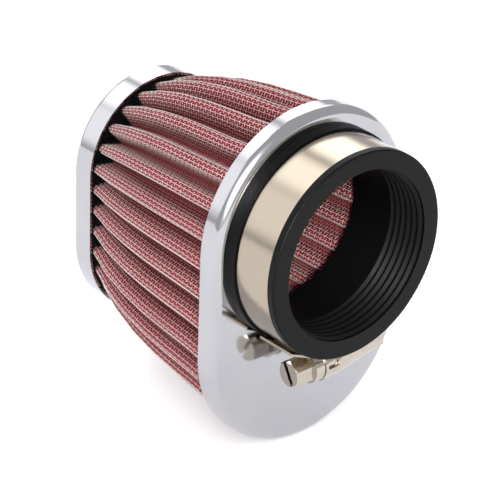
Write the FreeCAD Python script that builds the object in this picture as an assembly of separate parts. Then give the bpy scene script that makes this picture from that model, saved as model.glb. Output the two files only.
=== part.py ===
import FreeCAD, Part
import math
import os

os.makedirs("parts", exist_ok=True)

# Oval tapered air filter that clamps on an intake pipe, in millimetres
# The neck's axis is the Y axis, and Y = 0 is the front cap's outer face
# The neck's mouth is on the -Y side, the filter body on the +Y side, and Z is up

# Rubber neck
BORE_RADIUS = 27.0
NECK_WALL = 6.2
NECK_REACH = 19.6
NECK_DEPTH = 10.9
SLEEVE_WALL = 1.0
MOUTH_RELIEF = 0.9
LIP_LENGTH = 2.5
LIP_HEIGHT = 0.8
LIP_ROUNDING = 0.6
SHOULDER_HEIGHT = 1.4
FLANGE_CLEARANCE = 1.4
FLANGE_THICKNESS = 2.0
RIB_COUNT = 6
RIB_PITCH = 2.4
RIB_LAND = 0.7
RIB_TO_MOUTH = 2.2

# Pressed end caps
SHEET = 0.8
FRONT_EDGE_RADIUS = 3.0
REAR_EDGE_RADIUS = 1.6
CAP_SPACING = 81.6
FACE_RING = 4.6
FRONT_RISE = 1.0
FRONT_HEIGHT = 112.8
FRONT_SKIRT = 7.0
REAR_HALF_WIDTH = 28.4
REAR_HEIGHT = 83.0
REAR_SKIRT = 8.4

# Potting that seals the pleat ends into the caps
FRONT_POTTING_RECESS = 2.2
REAR_POTTING_RECESS = 1.0
POTTING_INNER_MARGIN = 0.7

# Pleated element
PLEAT_COUNT = 30
PLEAT_PHASE = 0.25
FRONT_CREST_GAP = 0.15
REAR_CREST_GAP = 0.5
PLEAT_DEPTH = 8.9
PLEAT_BULGE = 2.6
PLEAT_BULGE_SKEW = 1.5
PLEAT_STEPS = 6
CREST_RADIUS = 1.5
VALLEY_RADIUS = 1.4
GAUZE_THICKNESS = 0.8
MESH_THICKNESS = 0.4
LAYER_CLEARANCE = 0.03

# Worm-drive clamp
BAND_WIDTH = 14.0
BAND_THICKNESS = 0.7
BAND_LIP_GAP = 0.1
BAND_SHOULDER_GAP = 0.2
TAIL_ROOT_ANGLE = 24.0
TAIL_LIFT_ANGLE = 24.0
TAIL_STRAIGHT = 10.0
TAIL_SLOT_COUNT = 5
TAIL_SLOT_PITCH = 2.6
TAIL_SLOT_WIDTH = 1.1
TAIL_SLOT_LENGTH = 8.0
SCREW_DROP = 4.9
HOUSING_START = -6.5
HOUSING_RADIUS = 5.6
HOUSING_STRAIGHT = 6.5
HOUSING_TAPER = 18.5
HOUSING_TIP_RADIUS = 3.0
SADDLE_WIDTH = 9.0
WINDOW_LENGTH = 4.5
WINDOW_START = 1.0
WORM_RADIUS = 4.6
WORM_LENGTH = 8.8
WORM_CLEARANCE = 0.15
COLLAR_RADIUS = 5.2
COLLAR_LENGTH = 3.6
COLLAR_CLEARANCE = 0.1
HEX_FLATS = 8.0
HEAD_LENGTH = 7.0
HEAD_CHAMFER = 0.5
SLOT_WIDTH = 1.4
SLOT_DEPTH = 2.6

# Sizes that follow from the ones above
SEAT_RADIUS = BORE_RADIUS + NECK_WALL
LIP_RADIUS = SEAT_RADIUS + LIP_HEIGHT
SHOULDER_RADIUS = SEAT_RADIUS + SHOULDER_HEIGHT
FRONT_HALF_WIDTH = SHOULDER_RADIUS + FACE_RING
FRONT_TOP = FRONT_HALF_WIDTH + FRONT_RISE
FRONT_BOTTOM = FRONT_TOP - FRONT_HEIGHT
OVAL_MIDDLE = (FRONT_TOP + FRONT_BOTTOM) / 2
REAR_TOP = OVAL_MIDDLE + REAR_HEIGHT / 2
REAR_BOTTOM = OVAL_MIDDLE - REAR_HEIGHT / 2
FLANGE_RADIUS = FRONT_HALF_WIDTH - SHEET - FLANGE_CLEARANCE
GROOVE_RADIUS = BORE_RADIUS + MOUTH_RELIEF
MOUTH_Y = -NECK_REACH
BAND_FRONT_Y = MOUTH_Y + LIP_LENGTH + BAND_LIP_GAP
BAND_REAR_Y = BAND_FRONT_Y + BAND_WIDTH
SHOULDER_Y = BAND_REAR_Y + BAND_SHOULDER_GAP
FRONT_RIM_Y = FRONT_SKIRT
REAR_RIM_Y = CAP_SPACING - REAR_SKIRT
PLEAT_FRONT_Y = FRONT_RIM_Y - FRONT_POTTING_RECESS
PLEAT_REAR_Y = REAR_RIM_Y + REAR_POTTING_RECESS
STACK_HALF = GAUZE_THICKNESS / 2 + LAYER_CLEARANCE + MESH_THICKNESS
BAND_OUTER_RADIUS = SEAT_RADIUS + BAND_THICKNESS
TAIL_OUTER_RADIUS = BAND_OUTER_RADIUS + BAND_THICKNESS
SCREW_Y = (BAND_FRONT_Y + BAND_REAR_Y) / 2
SCREW_Z = -(TAIL_OUTER_RADIUS + SCREW_DROP)

# Room left round cutting shapes so that they pass clean through
OVERRUN = 1.0

ORIGIN = FreeCAD.Vector(0, 0, 0)
ALONG_X = FreeCAD.Vector(1, 0, 0)
ALONG_Y = FreeCAD.Vector(0, 1, 0)


def save(shape, name):
    """Write one finished solid under its node name."""
    shape.removeSplitter().exportStep("parts/" + name + ".step")


def ring(inner_radius, outer_radius, start_y, end_y):
    """A plain ring round the neck's axis."""
    base = FreeCAD.Vector(0, start_y, 0)
    outer = Part.makeCylinder(outer_radius, end_y - start_y, base, ALONG_Y)
    inner = Part.makeCylinder(inner_radius, end_y - start_y + 2 * OVERRUN, base - ALONG_Y * OVERRUN, ALONG_Y)
    return outer.cut(inner)


def oval_prism(half_width, top, bottom, start_y, end_y):
    """An oval block: straight vertical sides with a half round above and below."""
    upper = top - half_width
    lower = bottom + half_width
    right_low = FreeCAD.Vector(half_width, start_y, lower)
    right_high = FreeCAD.Vector(half_width, start_y, upper)
    left_high = FreeCAD.Vector(-half_width, start_y, upper)
    left_low = FreeCAD.Vector(-half_width, start_y, lower)
    edges = [
        Part.makeLine(right_low, right_high),
        Part.Arc(right_high, FreeCAD.Vector(0, start_y, top), left_high).toShape(),
        Part.makeLine(left_high, left_low),
        Part.Arc(left_low, FreeCAD.Vector(0, start_y, bottom), right_low).toShape(),
    ]
    return Part.Face(Part.Wire(edges)).extrude(ALONG_Y * (end_y - start_y))


def cap_form(outline, inset, face_y, end_y, edge_radius):
    """The oval block of a cap, inset from its outline, with the edge round its closed face rounded."""
    half_width, top, bottom = outline
    block = oval_prism(half_width - inset, top - inset, bottom + inset, face_y, end_y)
    rounded = [edge for edge in block.Edges if all(abs(v.Y - face_y) < 1e-6 for v in edge.Vertexes)]
    return block.makeFillet(edge_radius, rounded)


def pressed_cap(outline, face_y, rim_y, edge_radius):
    """A sheet cap with a flat face and a straight skirt."""
    inward = SHEET if rim_y > face_y else -SHEET
    overrun = OVERRUN if rim_y > face_y else -OVERRUN
    outside = cap_form(outline, 0, face_y, rim_y, edge_radius)
    inside = cap_form(outline, SHEET, face_y + inward, rim_y + overrun, edge_radius - SHEET)
    return outside.cut(inside)


def rubber_neck():
    """The moulded neck: lip, clamp seat, shoulder, flange, inner sleeve and ribbed bore."""
    sleeve_radius = BORE_RADIUS + SLEEVE_WALL
    lip_end = MOUTH_Y + LIP_LENGTH
    flange_front = SHEET
    flange_rear = SHEET + FLANGE_THICKNESS
    outline = [
        (LIP_RADIUS, MOUTH_Y + LIP_ROUNDING),
        (LIP_RADIUS, lip_end),
        (SEAT_RADIUS, lip_end),
        (SEAT_RADIUS, SHOULDER_Y),
        (SHOULDER_RADIUS, SHOULDER_Y),
        (SHOULDER_RADIUS, flange_front),
        (FLANGE_RADIUS, flange_front),
        (FLANGE_RADIUS, flange_rear),
        (sleeve_radius, flange_rear),
        (sleeve_radius, NECK_DEPTH),
        (BORE_RADIUS, NECK_DEPTH),
    ]
    for index in reversed(range(RIB_COUNT)):
        middle = MOUTH_Y + RIB_TO_MOUTH + index * RIB_PITCH
        if index < RIB_COUNT - 1:
            outline.append((BORE_RADIUS, middle + RIB_LAND / 2))
        outline.append((BORE_RADIUS, middle - RIB_LAND / 2))
        if index > 0:
            outline.append((GROOVE_RADIUS, middle - RIB_PITCH / 2))
    outline.append((GROOVE_RADIUS, MOUTH_Y + RIB_TO_MOUTH - RIB_PITCH / 2))
    outline.append((GROOVE_RADIUS, MOUTH_Y))
    outline.append((LIP_RADIUS - LIP_ROUNDING, MOUTH_Y))
    points = [FreeCAD.Vector(radius, y, 0) for radius, y in outline]
    edges = [Part.makeLine(points[i], points[i + 1]) for i in range(len(points) - 1)]
    across = LIP_ROUNDING * (1 - math.sqrt(0.5))
    middle = FreeCAD.Vector(LIP_RADIUS - across, MOUTH_Y + across, 0)
    edges.append(Part.Arc(points[-1], middle, points[0]).toShape())
    return Part.Face(Part.Wire(edges)).revolve(ORIGIN, ALONG_Y, 360)


def outline_point(outline, fraction, inset):
    """A point on an oval, counted from its top towards -X, moved in along the oval's normal."""
    half_width, top, bottom = outline
    upper = top - half_width
    lower = bottom + half_width
    quarter = half_width * math.pi / 2
    side = upper - lower
    run = (fraction % 1.0) * (4 * quarter + 2 * side)
    if run < quarter:
        centre, angle = upper, math.pi / 2 + run / half_width
    elif run < quarter + side:
        centre, angle = upper - (run - quarter), math.pi
    elif run < 3 * quarter + side:
        centre, angle = lower, math.pi + (run - quarter - side) / half_width
    elif run < 3 * quarter + 2 * side:
        centre, angle = lower + (run - 3 * quarter - side), 2 * math.pi
    else:
        centre, angle = upper, (run - 3 * quarter - 2 * side) / half_width
    straight = angle in (math.pi, 2 * math.pi)
    normal = (math.cos(angle), 0.0 if straight else math.sin(angle))
    reach = half_width - inset
    return normal[0] * reach, centre + normal[1] * reach


def tangent_normal(start, end, radius_sum, turn):
    """The outward normal of the line that crosses between two fold circles."""
    across = end[0] - start[0]
    rise = end[1] - start[1]
    angle = math.atan2(rise, across) + turn * math.asin(radius_sum / math.hypot(across, rise))
    return math.sin(angle), -math.cos(angle)


def front_flanks():
    """The pleats' straight flanks in the front plane, each a point and a normal, in the middle of the gauze."""
    inset = SHEET + FRONT_CREST_GAP
    outline = (FRONT_HALF_WIDTH - inset, FRONT_TOP - inset, FRONT_BOTTOM + inset)
    crest_inset = STACK_HALF + CREST_RADIUS
    valley_inset = PLEAT_DEPTH - STACK_HALF - VALLEY_RADIUS
    folds = []
    for index in range(PLEAT_COUNT):
        place = index + PLEAT_PHASE
        folds.append((outline_point(outline, place / PLEAT_COUNT, crest_inset), CREST_RADIUS))
        folds.append((outline_point(outline, (place + 0.5) / PLEAT_COUNT, valley_inset), -VALLEY_RADIUS))
    flanks = []
    for index, (centre, radius) in enumerate(folds):
        after = folds[(index + 1) % len(folds)][0]
        normal = tangent_normal(centre, after, CREST_RADIUS + VALLEY_RADIUS, math.copysign(1, radius))
        flanks.append(((centre[0] + normal[0] * radius, centre[1] + normal[1] * radius), normal))
    return flanks


def crossing(first, second, offset):
    """Where two flanks meet when both are moved outwards by the same offset."""
    (x1, z1), (nx1, nz1) = first
    (x2, z2), (nx2, nz2) = second
    reach1 = x1 * nx1 + z1 * nz1 + offset
    reach2 = x2 * nx2 + z2 * nz2 + offset
    spread = nx1 * nz2 - nz1 * nx2
    return (reach1 * nz2 - reach2 * nz1) / spread, (nx1 * reach2 - nx2 * reach1) / spread


def half_turn(flanks, index):
    """Half the angle through which the sheet turns at one fold."""
    (x1, z1), (x2, z2) = flanks[index - 1][1], flanks[index][1]
    return math.acos(x1 * x2 + z1 * z2) / 2


def pleat_section(flanks, offset, scale, y):
    """The folds of one section, each a tangent point, the sharp corner and the other tangent point."""
    scaled = [((x * scale, OVAL_MIDDLE + (z - OVAL_MIDDLE) * scale), normal) for (x, z), normal in flanks]
    places = [crossing(scaled[index - 1], scaled[index], offset) for index in range(len(scaled))]
    corners = [FreeCAD.Vector(x, y, z) for x, z in places]
    folds = []
    for index, corner in enumerate(corners):
        is_crest = index % 2 == 0
        radius = CREST_RADIUS * scale + offset if is_crest else VALLEY_RADIUS * scale - offset
        reach = radius * math.tan(half_turn(flanks, index))
        before = (corners[index - 1] - corner).normalize() * reach
        after = (corners[(index + 1) % len(corners)] - corner).normalize() * reach
        folds.append((corner + before, corner, corner + after))
    return folds


def ruled_face(rows, weights):
    """A face that runs straight from one section to the next, on rows of control points across it."""
    degree = len(rows) - 1
    ends = [0, 1]
    surface = Part.BSplineSurface()
    surface.buildFromPolesMultsKnots(
        rows, [degree + 1] * 2, [2, 2], ends, ends, False, False, degree, 1, [[weight] * 2 for weight in weights]
    )
    return surface.toShape()


def section_wire(flanks, section):
    """The closed outline of one section: an arc at each fold and a line along each flank."""
    edges = []
    for index, (start, corner, end) in enumerate(section):
        weight = math.cos(half_turn(flanks, index))
        middle = (start + end + corner * (2 * weight)) * (1 / (2 + 2 * weight))
        edges.append(Part.Arc(start, middle, end).toShape())
        edges.append(Part.makeLine(end, section[(index + 1) % len(section)][0]))
    return Part.Wire(edges)


def pleated_surface(flanks, offset, stations):
    """One side of a pleated sheet: its faces, and its outline at the front and at the rear."""
    sections = [pleat_section(flanks, offset, scale, y) for scale, y in stations]
    faces = []
    for near, far in zip(sections, sections[1:]):
        for index in range(len(flanks)):
            after = (index + 1) % len(flanks)
            fold = [[near[index][place], far[index][place]] for place in range(3)]
            faces.append(ruled_face(fold, [1.0, math.cos(half_turn(flanks, index)), 1.0]))
            corners = [near[index][2], near[after][0], far[after][0], far[index][2]]
            faces.append(Part.Face(Part.makePolygon(corners + corners[:1])))
    return faces, section_wire(flanks, sections[0]), section_wire(flanks, sections[-1])


def pleat_stations():
    """The scale and the place of each section from front to rear: a taper with a bulge towards the rear."""
    front_width = FRONT_HALF_WIDTH - SHEET - FRONT_CREST_GAP - STACK_HALF
    rear_width = REAR_HALF_WIDTH - SHEET - REAR_CREST_GAP - STACK_HALF
    stations = []
    for step in range(PLEAT_STEPS + 1):
        share = step / PLEAT_STEPS
        skewed = share ** PLEAT_BULGE_SKEW
        bulge = PLEAT_BULGE * 4 * skewed * (1 - skewed)
        width = front_width + (rear_width - front_width) * share + bulge
        stations.append((width / front_width, PLEAT_FRONT_Y + (PLEAT_REAR_Y - PLEAT_FRONT_Y) * share))
    return stations


def pleated_layer(inner_offset, outer_offset):
    """One pleated sheet, between two offsets from the middle of the gauze."""
    flanks = front_flanks()
    stations = pleat_stations()
    outer_faces, outer_front, outer_rear = pleated_surface(flanks, outer_offset, stations)
    inner_faces, inner_front, inner_rear = pleated_surface(flanks, inner_offset, stations)
    ends = [
        Part.makeFace([outer_front, inner_front], "Part::FaceMakerBullseye"),
        Part.makeFace([outer_rear, inner_rear], "Part::FaceMakerBullseye"),
    ]
    shell = Part.makeShell(outer_faces + inner_faces + ends)
    shell.sewShape()
    return Part.makeSolid(shell)


def front_potting(outline):
    """The sealing ring in the front cap, cast round the neck's flange."""
    body = cap_form(outline, SHEET, SHEET, PLEAT_FRONT_Y, FRONT_EDGE_RADIUS - SHEET)
    flange = Part.makeCylinder(FLANGE_RADIUS, FLANGE_THICKNESS, ALONG_Y * SHEET, ALONG_Y)
    inset = SHEET + FRONT_CREST_GAP + PLEAT_DEPTH + POTTING_INNER_MARGIN
    half_width, top, bottom = outline
    opening = oval_prism(half_width - inset, top - inset, bottom + inset, 0, PLEAT_FRONT_Y + OVERRUN)
    return body.cut(flange).cut(opening)


def rear_potting(outline):
    """The sealing slab that fills the rear cap behind the pleats."""
    return cap_form(outline, SHEET, CAP_SPACING - SHEET, PLEAT_REAR_Y, REAR_EDGE_RADIUS - SHEET)


def band_angle_point(radius, degrees, y):
    """A point on the clamp, counted in degrees from the bottom towards +X."""
    angle = math.radians(degrees)
    return FreeCAD.Vector(radius * math.sin(angle), y, -radius * math.cos(angle))


def clamp_band():
    """The steel band: a closed turn and the free tail that lies on it and leaves it in a straight line."""
    turn = ring(SEAT_RADIUS, BAND_OUTER_RADIUS, BAND_FRONT_Y, BAND_REAR_Y)
    root, lift = TAIL_ROOT_ANGLE, -TAIL_LIFT_ANGLE
    middle = (root + lift) / 2
    y = BAND_FRONT_Y
    along = FreeCAD.Vector(-math.cos(math.radians(lift)), 0, -math.sin(math.radians(lift))) * TAIL_STRAIGHT
    outer = [band_angle_point(TAIL_OUTER_RADIUS, angle, y) for angle in (root, middle, lift)]
    inner = [band_angle_point(BAND_OUTER_RADIUS, angle, y) for angle in (lift, middle, root)]
    edges = [
        Part.Arc(*outer).toShape(),
        Part.makeLine(outer[2], outer[2] + along),
        Part.makeLine(outer[2] + along, inner[0] + along),
        Part.makeLine(inner[0] + along, inner[0]),
        Part.Arc(*inner).toShape(),
        Part.makeLine(inner[2], outer[0]),
    ]
    tail = Part.Face(Part.Wire(edges)).extrude(ALONG_Y * BAND_WIDTH)
    for index in range(TAIL_SLOT_COUNT):
        slot = Part.makeBox(TAIL_SLOT_WIDTH, TAIL_SLOT_LENGTH, 2 * BAND_THICKNESS)
        slot.translate(FreeCAD.Vector(-TAIL_SLOT_WIDTH / 2, SCREW_Y - TAIL_SLOT_LENGTH / 2, 0))
        slot.translate(FreeCAD.Vector(-(index + 0.5) * TAIL_SLOT_PITCH, 0, -TAIL_OUTER_RADIUS - BAND_THICKNESS / 2))
        slot.rotate(ORIGIN, ALONG_Y, TAIL_LIFT_ANGLE)
        tail = tail.cut(slot)
    return turn.fuse(tail)


def clamp_housing():
    """The housing that holds the screw on the band: a saddle, a tube, a tapered nose and a side window."""
    start = FreeCAD.Vector(HOUSING_START, SCREW_Y, SCREW_Z)
    tube = Part.makeCylinder(HOUSING_RADIUS, HOUSING_STRAIGHT, start, ALONG_X)
    nose_start = start + ALONG_X * HOUSING_STRAIGHT
    nose = Part.makeCone(HOUSING_RADIUS, HOUSING_TIP_RADIUS, HOUSING_TAPER, nose_start, ALONG_X)
    saddle = Part.makeBox(
        HOUSING_STRAIGHT + HOUSING_TAPER,
        SADDLE_WIDTH,
        -SCREW_Z - BAND_OUTER_RADIUS,
        FreeCAD.Vector(HOUSING_START, SCREW_Y - SADDLE_WIDTH / 2, SCREW_Z),
    )
    body = tube.fuse(nose).fuse(saddle)
    inside_band = Part.makeCylinder(
        TAIL_OUTER_RADIUS, BAND_WIDTH + 2 * OVERRUN, ALONG_Y * (BAND_FRONT_Y - OVERRUN), ALONG_Y
    )
    worm_room = Part.makeCylinder(
        WORM_RADIUS + WORM_CLEARANCE, WORM_LENGTH + COLLAR_CLEARANCE + OVERRUN, start - ALONG_X * OVERRUN, ALONG_X
    )
    window = Part.makeBox(
        WINDOW_LENGTH,
        HOUSING_RADIUS + OVERRUN,
        -SCREW_Z,
        FreeCAD.Vector(HOUSING_START + WINDOW_START, SCREW_Y - HOUSING_RADIUS - OVERRUN, SCREW_Z),
    )
    return body.cut(inside_band).cut(worm_room).cut(window)


def clamp_screw():
    """The worm screw: a slotted hexagon head, a collar and the worm as a plain cylinder at its crests."""
    collar_end = HOUSING_START - COLLAR_CLEARANCE
    collar_start = collar_end - COLLAR_LENGTH
    head_start = collar_start - HEAD_LENGTH
    corner = HEX_FLATS / math.sqrt(3)
    turns = [math.radians(60 * index) for index in range(7)]
    corners = [
        FreeCAD.Vector(head_start, SCREW_Y + corner * math.sin(turn), SCREW_Z + corner * math.cos(turn))
        for turn in turns
    ]
    head = Part.Face(Part.makePolygon(corners)).extrude(ALONG_X * HEAD_LENGTH)
    face_radius = HEX_FLATS / 2
    cone_length = HEAD_LENGTH
    cone = Part.makeCone(
        face_radius,
        face_radius + cone_length * (corner - face_radius) / HEAD_CHAMFER,
        cone_length,
        FreeCAD.Vector(head_start, SCREW_Y, SCREW_Z),
        ALONG_X,
    )
    slot = Part.makeBox(
        SLOT_DEPTH + OVERRUN,
        4 * corner,
        SLOT_WIDTH,
        FreeCAD.Vector(head_start - OVERRUN, SCREW_Y - 2 * corner, SCREW_Z - SLOT_WIDTH / 2),
    )
    slot.rotate(FreeCAD.Vector(head_start, SCREW_Y, SCREW_Z), ALONG_X, 60)
    collar = Part.makeCylinder(
        COLLAR_RADIUS, COLLAR_LENGTH, FreeCAD.Vector(collar_start, SCREW_Y, SCREW_Z), ALONG_X
    )
    worm = Part.makeCylinder(
        WORM_RADIUS, WORM_LENGTH + COLLAR_CLEARANCE, FreeCAD.Vector(collar_end, SCREW_Y, SCREW_Z), ALONG_X
    )
    return head.common(cone).cut(slot).fuse(collar).fuse(worm)


FRONT_OUTLINE = (FRONT_HALF_WIDTH, FRONT_TOP, FRONT_BOTTOM)
REAR_OUTLINE = (REAR_HALF_WIDTH, REAR_TOP, REAR_BOTTOM)
NECK_HOLE = Part.makeCylinder(SHOULDER_RADIUS, SHEET + 2 * OVERRUN, ALONG_Y * -OVERRUN, ALONG_Y)
GAUZE_HALF = GAUZE_THICKNESS / 2
MESH_START = GAUZE_HALF + LAYER_CLEARANCE

save(pressed_cap(FRONT_OUTLINE, 0, FRONT_RIM_Y, FRONT_EDGE_RADIUS).cut(NECK_HOLE), "front_end_cap")
save(pressed_cap(REAR_OUTLINE, CAP_SPACING, REAR_RIM_Y, REAR_EDGE_RADIUS), "rear_end_cap")
save(rubber_neck(), "rubber_neck")
save(front_potting(FRONT_OUTLINE), "front_potting")
save(rear_potting(REAR_OUTLINE), "rear_potting")
save(pleated_layer(MESH_START, STACK_HALF), "outer_wire_mesh")
save(pleated_layer(-GAUZE_HALF, GAUZE_HALF), "cotton_gauze")
save(pleated_layer(-STACK_HALF, -MESH_START), "inner_wire_mesh")
save(clamp_band(), "clamp_band")
save(clamp_housing(), "clamp_housing")
save(clamp_screw(), "clamp_screw")
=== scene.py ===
import math

import bpy
import numpy as np
from mathutils import Matrix, Vector


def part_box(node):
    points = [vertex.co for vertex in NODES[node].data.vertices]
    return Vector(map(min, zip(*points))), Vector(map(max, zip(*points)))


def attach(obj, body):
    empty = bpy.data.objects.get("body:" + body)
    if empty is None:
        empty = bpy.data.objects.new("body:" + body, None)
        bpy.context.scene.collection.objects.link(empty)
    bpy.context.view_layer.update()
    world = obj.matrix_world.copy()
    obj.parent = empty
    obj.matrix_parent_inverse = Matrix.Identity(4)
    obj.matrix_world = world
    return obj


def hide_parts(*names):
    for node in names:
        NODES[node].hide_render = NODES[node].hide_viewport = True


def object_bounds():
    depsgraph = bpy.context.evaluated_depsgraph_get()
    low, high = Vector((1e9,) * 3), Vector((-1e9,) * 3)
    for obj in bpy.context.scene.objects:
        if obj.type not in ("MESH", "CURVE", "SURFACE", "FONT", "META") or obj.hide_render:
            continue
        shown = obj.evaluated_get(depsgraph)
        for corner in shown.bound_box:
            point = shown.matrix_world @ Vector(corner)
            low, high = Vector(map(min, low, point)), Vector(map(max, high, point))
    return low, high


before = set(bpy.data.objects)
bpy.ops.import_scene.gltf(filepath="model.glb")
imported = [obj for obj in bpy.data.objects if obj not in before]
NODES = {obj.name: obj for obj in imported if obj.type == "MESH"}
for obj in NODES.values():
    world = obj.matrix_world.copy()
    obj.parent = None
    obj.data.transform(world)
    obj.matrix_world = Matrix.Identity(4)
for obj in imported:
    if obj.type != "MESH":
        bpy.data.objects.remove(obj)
cad_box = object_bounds()
MM = 0.001

# Camera: the photograph's viewing angle, scale and framing
IMAGE_SIZE = 500
SENSOR_WIDTH = 36.0
CAMERA_AZIMUTH = math.radians(42.335)
CAMERA_ELEVATION = math.radians(28.504)
CAMERA_ROLL = math.radians(2.076)
CAMERA_DISTANCE = 800.0
PIXELS_PER_MM = 3.34634
MOUTH_CENTRE_PIXEL = (357.833, 256.153)
CLIP_NEAR = 0.01
CLIP_FAR = 20.0

# Woven wire, in millimetres; heights over and under are from the middle of the sheet, away from the gauze
WEFT_PITCH = 1.15
WARPS_PER_FOLD = 6
EDGE_MARGIN = 0.5
WIRE_HALF_WIDTH = 0.097
WIRE_HALF_THICKNESS = 0.1
WIRE_SIDES = 3
WIRE_OVER = -0.05
WARP_UNDER = -0.29
WEFT_UNDER = -0.5
MESH_THICKNESS = 0.4
NORMAL_STEP = 0.3

# Half the flat of a weft wire where it lies over a warp wire, as a share of the warp pitch
WEFT_FLAT = 0.3

# Decimal places, in metres, to which a node's points are rounded to weld them
WELD_DIGITS = 7

# Sealing compound that has crept up the valleys from the rear cap, with painted shade deep in those valleys
# under the rim, in millimetres
CREEP_AND_SHADE_PER_DEPTH = 0.9
CREEP_AND_SHADE_START_DEPTH = 3.4
CREEP_AND_SHADE_FADE = 2.0

# Folds, in millimetres: their depth, and the depths between which the wire's dark red grows to full, partly
# the oil's stain and partly painted shade and a painted reflection of the red gauze
FOLD_DEPTH = 9.0
STAIN_AND_SHADE_DEPTHS = (1.4, 5.2)

# Slices from front to rear in which the fold tips are looked for
DEPTH_SLABS = 40

# Colours, from dark to light where there are more than one
CHROME_TINTS = ((0.505, 0.505, 0.53), (0.535, 0.535, 0.555))
RUBBER_TINTS = ((0.0018, 0.0018, 0.002), (0.0026, 0.0026, 0.0028), (0.1, 0.1, 0.1))
POTTING_TINTS = ((0.004, 0.004, 0.004), (0.01, 0.009, 0.009))
# Black of the crept compound, also standing in as painted shade deep in the valleys by the rear cap
CREPT_AND_SHADE_TINT = (0.006, 0.0055, 0.0055)
GAUZE_TINTS = ((0.135, 0.013, 0.019), (0.27, 0.028, 0.039), (0.43, 0.072, 0.087))
# Painted shade: the gauze's flanks are multiplied by this tint, darker down in the folds
FLANK_SHADE_TINT = (0.44, 0.2, 0.23)
WIRE_TINTS = ((0.88, 0.81, 0.75), (0.98, 0.95, 0.9))
# Dark red of the wire in the folds: partly oil stain, partly painted shade and a painted reflection of the
# red gauze
STAIN_AND_SHADE_TINT = (0.48, 0.22, 0.2)
BAND_TINTS = ((0.445, 0.385, 0.305), (0.47, 0.41, 0.325))
NICKEL_TINTS = ((0.53, 0.48, 0.41), (0.6, 0.55, 0.48))
FLOOR_TINTS = ((0.9, 0.9, 0.91), (0.92, 0.92, 0.93))
BLACK = (0.0, 0.0, 0.0)
WHITE = (1.0, 1.0, 1.0)

# Stops of the colour ramps: values of the noise, and for the painted shade on the flanks shares of the fold's
# depth
CLOUD_STOPS = (0.3, 0.7)
DUST_STOPS = (0.0, 0.8, 0.86)
POTTING_STOPS = (0.3, 0.75)
FIBRE_STOPS = (0.25, 0.5, 0.8)
FLANK_SHADE_STOPS = (0.13, 0.48, 0.62, 0.9)

# Share of the light on the gauze that goes through it, and how finely the band's lines are drawn on each axis
GAUZE_THROUGH = 0.15
BAND_LINES = (1.0, 40.0, 1.0)

# Floor, in metres: FLOOR_LIFT is a glow that mirrors and the camera see, CAMERA_LIFT is the camera's alone
FLOOR_GAP = 0.2 * MM
FLOOR_Z = cad_box[0].z - FLOOR_GAP
FLOOR_HALF = 3.0
FLOOR_LIFT = 0.14
CAMERA_LIFT = 0.16

# Lamp beside the camera that shines through the neck, in metres, watts and degrees
BORE_LIGHT_TOWARDS = (-0.57, -0.67, 0.47)
BORE_LIGHT_DISTANCE = 0.8
BORE_LIGHT_AIM_X = -0.008
BORE_LIGHT_WATTS = 46.0
BORE_LIGHT_ANGLE = 3.5
BORE_LIGHT_RADIUS = 0.03
BORE_LIGHT_BLEND = 0.4

# Tent: each panel has a direction, an inner and an outer angle in degrees, and a strength
TENT_COLOUR = (0.98, 0.98, 1.0)
TENT_STRENGTH = 0.6
KEY_TOWARDS = (-0.62, -0.57, 0.53)
TENT_PANELS = [
    ((-0.61, 0.65, 0.42), 13.0, 26.0, 0.95),
    ((-0.07, 0.65, 0.76), 8.0, 20.0, 1.7),
    ((0.56, 0.65, 0.52), 8.0, 22.0, 2.3),
    (KEY_TOWARDS, 8.0, 30.0, 4.7),
    (KEY_TOWARDS, 15.0, 45.0, 0.5),
]

# Sockets of a Mix node that blends colours
MIX_FACTOR = 0
MIX_FIRST = 6
MIX_SECOND = 7
MIX_RESULT = 2


# Materials

class Nodes:
    """The shader nodes of one tree, made in short calls."""

    def __init__(self, tree):
        self.nodes = tree.nodes
        self.links = tree.links

    def node(self, kind, inputs=None, **properties):
        """A node with its properties set and each input linked or given a value."""
        made = self.nodes.new("ShaderNode" + kind)
        for name, value in properties.items():
            setattr(made, name, value)
        for name, value in (inputs or {}).items():
            if isinstance(value, bpy.types.NodeSocket):
                self.links.new(value, made.inputs[name])
            else:
                made.inputs[name].default_value = value
        return made


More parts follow.
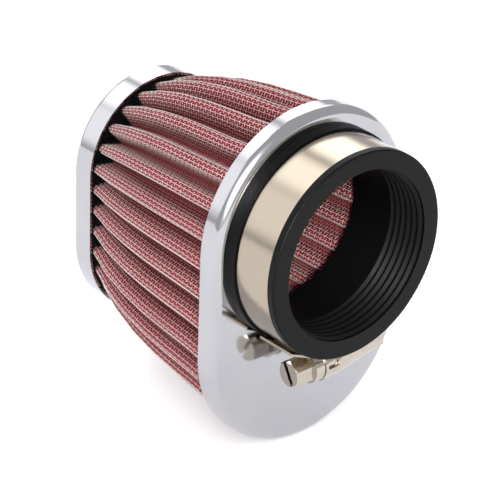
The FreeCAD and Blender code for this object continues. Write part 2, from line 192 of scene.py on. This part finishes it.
class Shader(Nodes):
    """A material round one Principled BSDF."""

    def __init__(self, name, **settings):
        self.material = bpy.data.materials.new(name)
        self.material.use_nodes = True
        super().__init__(self.material.node_tree)
        self.surface = self.nodes["Principled BSDF"]
        for socket, value in settings.items():
            self.surface.inputs[socket.replace("_", " ")].default_value = value

    def link(self, output, socket):
        """Feed one input of the surface."""
        self.links.new(output, self.surface.inputs[socket])

    def place(self):
        """The place on the object."""
        return self.node("TexCoord").outputs["Object"]

    def attribute(self, name):
        """A number stored on the mesh."""
        return self.node("Attribute", attribute_name=name).outputs["Fac"]

    def noise(self, scale, detail, place=None, roughness=0.5):
        """Noise from 0 to 1, mostly near the middle."""
        place = place or self.place()
        inputs = {"Vector": place, "Scale": scale, "Detail": detail, "Roughness": roughness}
        return self.node("TexNoise", inputs).outputs["Fac"]

    def ramp(self, value, stops, colours):
        """A colour ramp with the given stops."""
        ramp = self.node("ValToRGB", {"Fac": value})
        elements = ramp.color_ramp.elements
        while len(elements) < len(colours):
            elements.new(0.5)
        for element, stop, colour in zip(elements, stops, colours):
            element.position = stop
            element.color = (*colour, 1.0)
        return ramp.outputs["Color"]

    def mix(self, share, first, second, blend="MIX"):
        """A colour blended with a fixed one by a share."""
        inputs = {MIX_FACTOR: share, MIX_FIRST: first, MIX_SECOND: (*second, 1.0)}
        return self.node("Mix", inputs, data_type="RGBA", blend_type=blend).outputs[MIX_RESULT]

    def span(self, value, low, high):
        """A value from 0 to 1 spread over a span."""
        return self.node("MapRange", {"Value": value, "To Min": low, "To Max": high}).outputs["Result"]

    def share(self, value, start, end, interpolation="LINEAR"):
        """A value's share of the way from start to end."""
        inputs = {"Value": value, "From Min": start, "From Max": end}
        return self.node("MapRange", inputs, interpolation_type=interpolation).outputs["Result"]

    def bump(self, height, strength, distance):
        """Small relief on the surface."""
        inputs = {"Height": height, "Strength": strength, "Distance": distance}
        self.link(self.node("Bump", inputs).outputs["Normal"], "Normal")


def chrome():
    """Plated sheet: a mirror with faint waves and a trace of haze."""
    made = Shader("chrome_sheet", Metallic=1.0)
    cloud = made.noise(scale=60.0, detail=4.0)
    made.link(made.ramp(cloud, CLOUD_STOPS, CHROME_TINTS), "Base Color")
    haze = made.noise(scale=900.0, detail=2.0)
    made.link(made.span(haze, low=0.075, high=0.12), "Roughness")
    made.bump(made.noise(scale=28.0, detail=1.0), strength=0.04, distance=0.002)
    return made.material


def rubber():
    """Moulded rubber: near black, satin, with a fine grain and pale dust specks."""
    made = Shader("neck_rubber", IOR=1.5, Specular_IOR_Level=0.15)
    dust = made.noise(scale=1600.0, detail=1.0)
    made.link(made.ramp(dust, DUST_STOPS, RUBBER_TINTS), "Base Color")
    cloud = made.noise(scale=300.0, detail=4.0)
    made.link(made.span(cloud, low=0.4, high=0.52), "Roughness")
    made.bump(made.noise(scale=2500.0, detail=3.0), strength=0.12, distance=0.0002)
    return made.material


def potting():
    """Cast sealing compound: black, satin, a little uneven."""
    made = Shader("black_potting", IOR=1.5, Specular_IOR_Level=0.25)
    cloud = made.noise(scale=180.0, detail=4.0)
    made.link(made.ramp(cloud, POTTING_STOPS, POTTING_TINTS), "Base Color")
    made.link(made.span(cloud, low=0.4, high=0.6), "Roughness")
    made.bump(made.noise(scale=420.0, detail=3.0), strength=0.4, distance=0.0006)
    return made.material


def sealed_and_shaded(made, colour):
    """A colour that turns black where the sealing compound has crept over it, partly real compound and partly
    painted shade in the valleys by the rear cap.
    """
    # Partly compound, partly painted shade: the colour goes black near the rear cap, further forward in
    # deeper valleys
    crept_and_shaded = made.share(made.attribute("creep_and_shade"), -CREEP_AND_SHADE_FADE, 0.0, "SMOOTHSTEP")
    return made.mix(crept_and_shaded, colour, CREPT_AND_SHADE_TINT)


def gauze():
    """Oiled red cotton: mottled, with painted shade darkening the flanks of the folds, letting a little light
    through.
    """
    made = Shader("red_gauze", Roughness=0.85, Specular_IOR_Level=0.2)
    fibre = made.noise(scale=2600.0, detail=4.0, roughness=0.65)
    red = made.ramp(fibre, FIBRE_STOPS, GAUZE_TINTS)
    down_the_fold = made.share(made.attribute("depth"), 0.0, FOLD_DEPTH)
    # Painted shade: the middle of each flank is darkened, as shade falls down in the fold
    flank_shade = made.ramp(down_the_fold, FLANK_SHADE_STOPS, (BLACK, WHITE, WHITE, BLACK))
    colour = sealed_and_shaded(made, made.mix(flank_shade, red, FLANK_SHADE_TINT, "MULTIPLY"))
    made.link(colour, "Base Color")
    made.bump(fibre, strength=0.5, distance=0.0004)
    through = made.node("BsdfTranslucent", {"Color": colour})
    both = made.node("MixShader", {0: GAUZE_THROUGH, 1: made.surface.outputs[0], 2: through.outputs[0]})
    made.links.new(both.outputs[0], made.nodes["Material Output"].inputs["Surface"])
    return made.material


def wire():
    """Aluminium wire: pale and satin, dark red down in the folds, partly oil stain and partly painted shade
    and a painted reflection of the red gauze.
    """
    made = Shader("wire_mesh", Metallic=0.3, IOR=1.5)
    cloud = made.noise(scale=700.0, detail=3.0)
    pale = made.ramp(cloud, CLOUD_STOPS, WIRE_TINTS)
    # Partly oil stain, partly painted shade and a painted reflection of the gauze: the wire turns dark red
    # down in the folds
    stained_and_shaded = made.mix(made.share(made.attribute("depth"), *STAIN_AND_SHADE_DEPTHS), pale, STAIN_AND_SHADE_TINT)
    made.link(sealed_and_shaded(made, stained_and_shaded), "Base Color")
    made.link(made.span(cloud, low=0.3, high=0.45), "Roughness")
    return made.material


def clamp_steel():
    """Bright steel strip: warm, with fine lines along the band."""
    made = Shader("clamp_steel", Metallic=1.0)
    stretched = made.node("Mapping", {"Vector": made.place(), "Scale": BAND_LINES}).outputs["Vector"]
    lines = made.noise(scale=90.0, detail=4.0, place=stretched)
    made.link(made.ramp(lines, CLOUD_STOPS, BAND_TINTS), "Base Color")
    made.link(made.span(lines, low=0.14, high=0.19), "Roughness")
    made.bump(lines, strength=0.015, distance=0.0004)
    return made.material


def nickel():
    """Nickel-plated steel: paler than the band, bright, with faint handling marks."""
    made = Shader("screw_nickel", Metallic=1.0)
    marks = made.noise(scale=500.0, detail=4.0)
    made.link(made.ramp(marks, CLOUD_STOPS, NICKEL_TINTS), "Base Color")
    made.link(made.span(marks, low=0.1, high=0.2), "Roughness")
    made.bump(marks, strength=0.05, distance=0.0003)
    return made.material


def pale_floor():
    """A pale sweep that glows a little, so that it is white to the camera round the shadow."""
    made = Shader("pale_floor", Roughness=0.9, Emission_Color=(*WHITE, 1.0))
    cloud = made.noise(scale=8.0, detail=3.0)
    made.link(made.ramp(cloud, CLOUD_STOPS, FLOOR_TINTS), "Base Color")
    rays = made.node("LightPath").outputs
    seen = rays["Is Camera Ray"]
    for kind in ("Is Glossy Ray", "Is Transmission Ray"):
        seen = made.node("Math", {0: seen, 1: rays[kind]}, operation="MAXIMUM").outputs[0]
    lift = {0: rays["Is Camera Ray"], 1: CAMERA_LIFT, 2: made.span(seen, low=0.0, high=FLOOR_LIFT)}
    made.link(made.node("Math", lift, operation="MULTIPLY_ADD").outputs[0], "Emission Strength")
    return made.material


# Pleats

def vertex_places(mesh):
    """The mesh's vertices, a row each."""
    places = np.empty(len(mesh.vertices) * 3)
    mesh.vertices.foreach_get("co", places)
    return places.reshape(-1, 3)


def oval_depth(x, y, z):
    """How far points lie inside the straight-sided oval that runs from cap to cap."""
    front_low, front_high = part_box("front_end_cap")
    rear_low, rear_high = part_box("rear_end_cap")
    share = (y - front_low.y) / (rear_high.y - front_low.y)
    half_width = front_high.x + (rear_high.x - front_high.x) * share
    half_height = ((front_high.z - front_low.z) * (1 - share) + (rear_high.z - rear_low.z) * share) / 2
    above_core = np.maximum(abs(z - (front_high.z + front_low.z) / 2) - (half_height - half_width), 0.0)
    return half_width - np.hypot(x, above_core)


def mark_folds(mesh, outermost):
    """Store each point's depth below the fold tips on its side, and how far the black of the compound and
    painted shade has crept past it.
    """
    x, y, z = vertex_places(mesh).T
    depth = oval_depth(x, y, z) / MM
    # Reaches further forward the deeper the valley: partly compound, partly painted shade under the rear
    # cap's rim
    creep_and_shade = (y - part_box("rear_end_cap")[0].y) / MM + CREEP_AND_SHADE_PER_DEPTH * (depth - CREEP_AND_SHADE_START_DEPTH)
    mesh.attributes.new("creep_and_shade", "FLOAT", "POINT").data.foreach_set("value", creep_and_shade)
    inward = depth if outermost else -depth
    slab = np.digitize(y, np.linspace(y.min() - MM, y.max() + MM, DEPTH_SLABS))
    tips = np.full(DEPTH_SLABS + 1, np.inf)
    np.minimum.at(tips, slab, inward)
    mesh.attributes.new("depth", "FLOAT", "POINT").data.foreach_set("value", inward - tips[slab])


def welded_triangles(node):
    """A node's points, each once, and its triangles as rows of three point numbers."""
    mesh = NODES[node].data
    mesh.calc_loop_triangles()
    rounded = vertex_places(mesh).round(WELD_DIGITS)
    points, welded = np.unique(rounded, axis=0, return_inverse=True)
    corners = np.empty(len(mesh.loop_triangles) * 3, int)
    mesh.loop_triangles.foreach_get("vertices", corners)
    return points, welded.reshape(-1)[corners].reshape(-1, 3)


def outlines_at(points, triangles, y):
    """The closed outlines where a plane across Y cuts the triangles, each an array of x and z."""
    above = points[:, 1] > y
    cut = triangles[above[triangles].any(axis=1) & ~above[triangles].all(axis=1)]
    joined = {}
    for triangle in cut:
        edges = [tuple(sorted((triangle[i], triangle[i - 1]))) for i in range(3)]
        ends = [edge for edge in edges if above[edge[0]] != above[edge[1]]]
        joined.setdefault(ends[0], []).append(ends[1])
        joined.setdefault(ends[1], []).append(ends[0])
    outlines = []
    while joined:
        start = edge = next(iter(joined))
        walk = []
        while edge in joined:
            walk.append(edge)
            ahead = [other for other in joined.pop(edge) if other in joined]
            edge = ahead[0] if ahead else start
        low, high = np.array(walk).T
        share = ((y - points[low, 1]) / (points[high, 1] - points[low, 1]))[:, None]
        outlines.append((points[low] + share * (points[high] - points[low]))[:, [0, 2]])
    return outlines


def enclosed(outline):
    """The signed area inside an outline."""
    x, z = outline.T
    return float(np.sum(x * np.roll(z, -1) - z * np.roll(x, -1)) / 2)


def fold_stations(outline, y):
    """Distances along an outline to halfway down each flank, in turn, and to each of its points."""
    lengths = np.hypot(*(np.roll(outline, -1, axis=0) - outline).T)
    along = np.concatenate([[0.0], np.cumsum(lengths)])
    depth = oval_depth(outline[:, 0], y, outline[:, 1])
    level = depth - (depth.max() + depth.min()) / 2
    after = np.roll(level, -1)
    crossing = np.flatnonzero((level > 0) != (after > 0))
    share = level[crossing] / (level[crossing] - after[crossing])
    return along[crossing] + share * lengths[crossing], along


def points_at(outline, along, distances):
    """The points at some distances along a closed outline."""
    closed = np.vstack([outline, outline[:1]])
    wrapped = distances % along[-1]
    return np.stack([np.interp(wrapped, along, closed[:, axis]) for axis in (0, 1)], axis=1)


def pleat_grid(node, outermost, planes, shares):
    """A sheet's middle points and normals away from the gauze, at shares of each fold, a row a plane."""
    rows = []
    normals = []
    points, triangles = welded_triangles(node)
    first = None
    for y in planes:
        outlines = sorted(outlines_at(points, triangles, y), key=lambda found: abs(enclosed(found)))
        outline = outlines[-1] if outermost else outlines[0]
        if enclosed(outline) < 0:
            outline = outline[::-1]
        stations, along = fold_stations(outline, y)

        # Each row starts at the station nearest to the start of the row before it
        places = points_at(outline, along, stations)
        start = 0 if first is None else int(np.argmin(np.hypot(*(places - first).T)))
        first = places[start]
        stations = np.roll(stations, -start)

        gaps = (np.roll(stations, -1) - stations) % along[-1]
        distances = (stations[:, None] + gaps[:, None] * shares).ravel()
        ahead = points_at(outline, along, distances + NORMAL_STEP * MM)
        behind = points_at(outline, along, distances - NORMAL_STEP * MM)
        tangent = ahead - behind
        away = np.stack([tangent[:, 1], -tangent[:, 0]], axis=1) * (1 if outermost else -1)
        away /= np.hypot(*away.T)[:, None]
        middle = points_at(outline, along, distances) - away * MESH_THICKNESS * MM / 2
        level = np.full(len(middle), y)
        rows.append(np.stack([middle[:, 0], level, middle[:, 1]], axis=1))
        normals.append(np.stack([away[:, 0], 0 * level, away[:, 1]], axis=1))
    return np.array(rows), np.array(normals)


# Woven wire

def wire_mesh_piece(name, paths, normals, closed, replaced, outermost, material):
    """Many wires as one piece: a small flattened section swept along each path."""
    count, length = paths.shape[:2]
    if closed:
        tangents = np.roll(paths, -1, axis=1) - np.roll(paths, 1, axis=1)
    else:
        tangents = np.gradient(paths, axis=1)
    sides = np.cross(tangents, normals)
    sides /= np.linalg.norm(sides, axis=2)[:, :, None]
    turns = 2 * math.pi * np.arange(WIRE_SIDES) / WIRE_SIDES + math.pi / 2
    across = (np.cos(turns) * WIRE_HALF_WIDTH * MM)[:, None]
    upwards = (np.sin(turns) * WIRE_HALF_THICKNESS * MM)[:, None]
    rings = paths[:, :, None] + sides[:, :, None] * across + normals[:, :, None] * upwards
    index = np.arange(count * length * WIRE_SIDES).reshape(count, length, WIRE_SIDES)
    after = np.roll(index, -1, axis=1) if closed else index[:, 1:]
    here = index if closed else index[:, :-1]
    faces = np.stack([here, np.roll(here, -1, axis=2), np.roll(after, -1, axis=2), after], axis=3)
    faces = faces.reshape(-1, 4).tolist()
    if not closed:
        faces += index[:, 0, ::-1].tolist() + index[:, -1].tolist()
    mesh = bpy.data.meshes.new(name)
    mesh.from_pydata(rings.reshape(-1, 3).tolist(), [], faces)
    mesh.polygons.foreach_set("use_smooth", [True] * len(mesh.polygons))
    mesh.materials.append(material)
    mark_folds(mesh, outermost)
    piece = bpy.data.objects.new(name, mesh)
    bpy.context.scene.collection.objects.link(piece)
    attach(piece, "filter")
    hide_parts(replaced)


def weave(node, outermost, material):
    """Plain weave on a pleated sheet: warps along the pleats and wefts round them, over and under in turn."""
    low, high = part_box(node)
    first = low.y + EDGE_MARGIN * MM
    last = high.y - EDGE_MARGIN * MM
    count = round((last - first) / (WEFT_PITCH * MM)) + 1
    planes = np.linspace(first, last, count)

    # Three places at each crossing: the warp's own, and one to each side for the weft's flat
    beside = np.array([-WEFT_FLAT, 0.0, WEFT_FLAT])
    steps = (np.arange(WARPS_PER_FOLD)[:, None] + 0.5 + beside).ravel()
    points, normals = pleat_grid(node, outermost, planes, steps / WARPS_PER_FOLD)
    points = points.reshape(count, -1, 3, 3)
    normals = normals.reshape(count, -1, 3, 3)
    wefts, warps = np.indices(points.shape[:2])
    warp_over = (wefts + warps) % 2 == 0

    warp_heights = np.where(warp_over, WIRE_OVER, WARP_UNDER)[:, :, None] * MM
    warp_normals = normals[:, :, 1]
    along = (points[:, :, 1] + warp_normals * warp_heights).swapaxes(0, 1)
    along_normals = warp_normals.swapaxes(0, 1)
    wire_mesh_piece(node + "_along", along, along_normals, False, node, outermost, material)

    # A weft dips to one place under a warp, and lies flat between the two others over it
    weft_heights = np.array([WIRE_OVER, WEFT_UNDER, WIRE_OVER])[:, None] * MM
    used = np.stack([~warp_over, warp_over, ~warp_over], axis=2)
    across = (points + normals * weft_heights)[used].reshape(count, -1, 3)
    across_normals = normals[used].reshape(count, -1, 3)
    wire_mesh_piece(node + "_round", across, across_normals, True, node, outermost, material)


# Camera

def photo_camera():
    """A long lens at the photograph's angle, with the mouth's centre on its pixel."""
    back = Vector((
        -math.sin(CAMERA_AZIMUTH) * math.cos(CAMERA_ELEVATION),
        -math.cos(CAMERA_AZIMUTH) * math.cos(CAMERA_ELEVATION),
        math.sin(CAMERA_ELEVATION),
    ))
    right = Vector((math.cos(CAMERA_AZIMUTH), -math.sin(CAMERA_AZIMUTH), 0.0))
    up = back.cross(right)
    rolled_right = right * math.cos(CAMERA_ROLL) + up * math.sin(CAMERA_ROLL)
    rolled_up = up * math.cos(CAMERA_ROLL) - right * math.sin(CAMERA_ROLL)
    mouth = Vector((0.0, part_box("rubber_neck")[0].y, 0.0))
    offset_x = (MOUTH_CENTRE_PIXEL[0] - IMAGE_SIZE / 2) / PIXELS_PER_MM * MM
    offset_y = (MOUTH_CENTRE_PIXEL[1] - IMAGE_SIZE / 2) / PIXELS_PER_MM * MM
    location = mouth - rolled_right * offset_x + rolled_up * offset_y + back * CAMERA_DISTANCE * MM
    data = bpy.data.cameras.new("photo_camera")
    data.sensor_width = SENSOR_WIDTH
    data.lens = SENSOR_WIDTH * PIXELS_PER_MM * CAMERA_DISTANCE / IMAGE_SIZE
    data.clip_start = CLIP_NEAR
    data.clip_end = CLIP_FAR
    camera = bpy.data.objects.new("photo_camera", data)
    turned = Matrix((rolled_right, rolled_up, back)).transposed()
    camera.matrix_world = Matrix.Translation(location) @ turned.to_4x4()
    bpy.context.scene.collection.objects.link(camera)
    bpy.context.scene.camera = camera


# Studio

def studio_floor():
    """One flat square under the object."""
    corners = [
        (-FLOOR_HALF, -FLOOR_HALF, FLOOR_Z),
        (FLOOR_HALF, -FLOOR_HALF, FLOOR_Z),
        (FLOOR_HALF, FLOOR_HALF, FLOOR_Z),
        (-FLOOR_HALF, FLOOR_HALF, FLOOR_Z),
    ]
    mesh = bpy.data.meshes.new("floor")
    mesh.from_pydata(corners, [], [(0, 1, 2, 3)])
    mesh.materials.append(pale_floor())
    panel = bpy.data.objects.new("floor", mesh)
    bpy.context.scene.collection.objects.link(panel)


def bore_light():
    """A narrow lamp beside the camera that shines through the neck on the inner mesh."""
    data = bpy.data.lights.new("bore_light", "SPOT")
    data.energy = BORE_LIGHT_WATTS
    data.shadow_soft_size = BORE_LIGHT_RADIUS
    data.spot_size = math.radians(BORE_LIGHT_ANGLE)
    data.spot_blend = BORE_LIGHT_BLEND
    lamp = bpy.data.objects.new("bore_light", data)
    aim = Vector((BORE_LIGHT_AIM_X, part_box("rubber_neck")[0].y, 0.0))
    lamp.location = aim + Vector(BORE_LIGHT_TOWARDS) * BORE_LIGHT_DISTANCE
    lamp.rotation_euler = (aim - lamp.location).to_track_quat("-Z", "Y").to_euler()
    bpy.context.scene.collection.objects.link(lamp)


def studio_world():
    """A dim tent with soft panels: three behind the object, and a key with its halo at the front left."""
    world = bpy.data.worlds.new("studio")
    bpy.context.scene.world = world
    world.use_nodes = True
    made = Nodes(world.node_tree)
    direction = made.node("TexCoord").outputs["Generated"]
    total = TENT_STRENGTH
    for towards, inner, outer, strength in TENT_PANELS:
        sides = {0: direction, 1: Vector(towards).normalized()}
        reach = {
            "Value": made.node("VectorMath", sides, operation="DOT_PRODUCT").outputs["Value"],
            "From Min": math.cos(math.radians(outer)),
            "From Max": math.cos(math.radians(inner)),
            "To Max": strength,
        }
        glow = made.node("MapRange", reach, interpolation_type="SMOOTHSTEP").outputs["Result"]
        total = made.node("Math", {0: total, 1: glow}, operation="ADD").outputs["Value"]
    background = made.nodes["Background"]
    background.inputs["Color"].default_value = (*TENT_COLOUR, 1.0)
    made.links.new(total, background.inputs["Strength"])


# Build

CHROME = chrome()
RUBBER = rubber()
POTTING = potting()
GAUZE = gauze()
BAND_STEEL = clamp_steel()
NICKEL = nickel()
WIRE = wire()
SURFACES = {
    "front_end_cap": CHROME,
    "rear_end_cap": CHROME,
    "rubber_neck": RUBBER,
    "front_potting": POTTING,
    "rear_potting": POTTING,
    "cotton_gauze": GAUZE,
    "clamp_band": BAND_STEEL,
    "clamp_housing": NICKEL,
    "clamp_screw": NICKEL,
}
for node, material in SURFACES.items():
    NODES[node].data.materials.clear()
    NODES[node].data.materials.append(material)

mark_folds(NODES["cotton_gauze"].data, outermost=True)
weave("outer_wire_mesh", outermost=True, material=WIRE)
weave("inner_wire_mesh", outermost=False, material=WIRE)

photo_camera()
studio_floor()
bore_light()
studio_world()
bpy.context.scene.view_settings.view_transform = "Standard"
